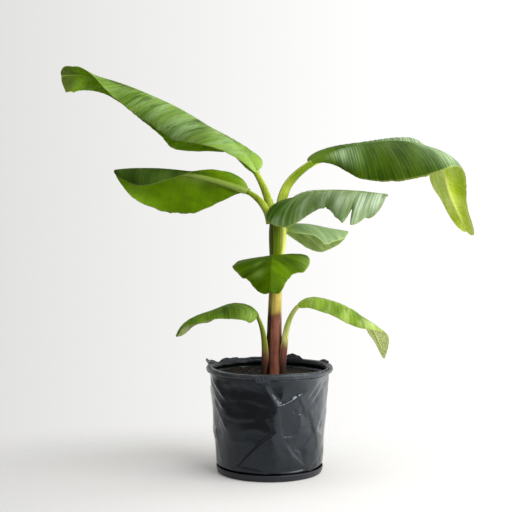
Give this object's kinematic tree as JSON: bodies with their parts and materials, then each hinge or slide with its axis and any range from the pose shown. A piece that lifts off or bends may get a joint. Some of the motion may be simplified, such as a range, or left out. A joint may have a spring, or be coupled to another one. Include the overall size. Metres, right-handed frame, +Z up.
{
  "type": "potted banana plant",
  "caption": "young banana plant with broad arching and drooping leaves on an upright false stem, in a black film-covered pot standing on a thin saucer",
  "frame": {"origin": "on the floor, at the middle of the saucer's flat underside, on the pot's axis", "axes": "+Z up; +Y away from the viewer of the picture; +X to the viewer's right"},
  "size_m": [1.0121, 0.4097, 0.9515],
  "materials": {
    "saucer_plastic": "thin dark plastic, satin",
    "pot_film": "black polythene film, glossy, creased",
    "compost": "moist granular compost, matt",
    "stem": "smooth waxy sheath, red-brown at the foot, yellow-green above",
    "leaf": "thin leaf blade, waxy sheen, parallel side veins"
  },
  "bodies": {
    "root": {"saucer": "saucer_plastic", "film_pot": "pot_film", "film_rim": "pot_film", "soil": "compost", "false_stem": "stem", "stalk_upper_left": "stem", "stalk_middle_left": "stem", "stalk_upper_right": "stem", "stalk_front_right": "stem", "stalk_back_right": "stem", "stalk_front": "stem", "stalk_lower_left": "stem", "stalk_lower_right": "stem", "leaf_upper_left": "leaf", "leaf_middle_left": "leaf", "leaf_upper_right": "leaf", "leaf_upper_right_tip": "leaf", "leaf_front_right": "leaf", "leaf_back_right": "leaf", "leaf_front": "leaf", "leaf_lower_left": "leaf", "leaf_lower_right": "leaf", "leaf_lower_right_tip": "leaf"}
  },
  "joints": []
}
